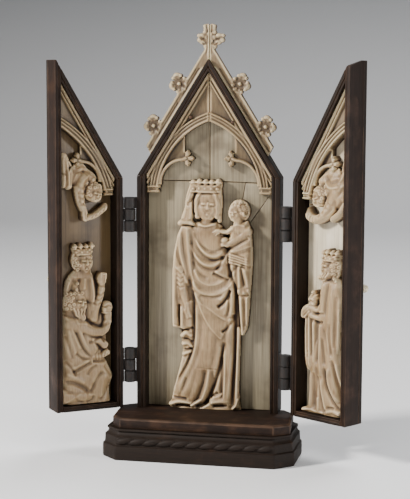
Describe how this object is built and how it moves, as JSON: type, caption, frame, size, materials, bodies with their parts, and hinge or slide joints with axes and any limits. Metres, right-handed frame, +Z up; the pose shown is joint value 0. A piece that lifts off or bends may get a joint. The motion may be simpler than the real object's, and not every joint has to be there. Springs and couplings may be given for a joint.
{
  "type": "triptych altarpiece",
  "caption": "Small gabled wooden triptych on a moulded base, with hinged wings and carved ivory reliefs of a crowned Virgin and Child, kings and angels.",
  "frame": {"origin": "centre of the underside of the base", "axes": "+Z up, +X to the viewer's right, +Y away from the viewer, into the case"},
  "size_m": [0.2173, 0.058, 0.2858],
  "materials": {
    "carved_ivory": "aged ivory, warm cream on the heights and brown in the hollows",
    "dark_wood": "near-black stained wood, softly polished, worn brown on the arrises",
    "hinge_iron": "dark patinated metal",
    "ivory_ground": "flat ivory plaques, greyer, with upright grain and dark joints",
    "knob_bone": "pale turned bone",
    "peg_wood": "reddish brown peg",
    "worn_wood": "dark wood worn to reddish brown, with open grain"
  },
  "bodies": {
    "case": {"base_plinth": "dark_wood", "base_slab": "worn_wood", "case_stile_left": "dark_wood", "case_rake_left": "dark_wood", "case_stile_right": "dark_wood", "case_rake_right": "dark_wood", "case_back_board": "dark_wood", "ground_upper_left": "ivory_ground", "ground_upper_right": "ivory_ground", "ground_main": "ivory_ground", "ground_corner": "ivory_ground", "ground_right": "ivory_ground", "tracery_left": "carved_ivory", "tracery_pin_left": "peg_wood", "tracery_right": "carved_ivory", "tracery_pin_right": "peg_wood", "virgin_and_child": "carved_ivory", "crest_left": "carved_ivory", "hinge_left_upper_case_half": "hinge_iron", "hinge_left_lower_case_half": "hinge_iron", "crest_right": "carved_ivory", "hinge_right_upper_case_half": "hinge_iron", "hinge_right_lower_case_half": "hinge_iron"},
    "left_wing": {"left_wing_hinge_stile": "dark_wood", "left_wing_rake": "dark_wood", "left_wing_bottom_rail": "dark_wood", "left_wing_free_stile": "worn_wood", "left_wing_back_board": "dark_wood", "left_wing_ground": "ivory_ground", "left_wing_arch": "carved_ivory", "left_wing_angel": "carved_ivory", "left_wing_magi": "carved_ivory", "left_wing_knob": "knob_bone", "hinge_left_upper_wing_half": "hinge_iron", "hinge_left_lower_wing_half": "hinge_iron"},
    "right_wing": {"right_wing_hinge_stile": "dark_wood", "right_wing_rake": "dark_wood", "right_wing_bottom_rail": "dark_wood", "right_wing_free_stile": "worn_wood", "right_wing_back_board": "dark_wood", "right_wing_ground": "ivory_ground", "right_wing_arch": "carved_ivory", "right_wing_angel": "carved_ivory", "right_wing_magus": "carved_ivory", "right_wing_knob": "knob_bone", "hinge_right_upper_wing_half": "hinge_iron", "hinge_right_lower_wing_half": "hinge_iron"}
  },
  "joints": [
    {"name": "left_wing_hinge", "type": "hinge", "parent": "case", "child": "left_wing", "pos_m": [-0.0533, 0.0116, 0.108], "axis": [0, 0, 1], "range_deg": [-36, 142]},
    {"name": "right_wing_hinge", "type": "hinge", "parent": "case", "child": "right_wing", "pos_m": [0.0533, 0.0116, 0.106], "axis": [0, 0, -1], "range_deg": [-32, 146]}
  ]
}
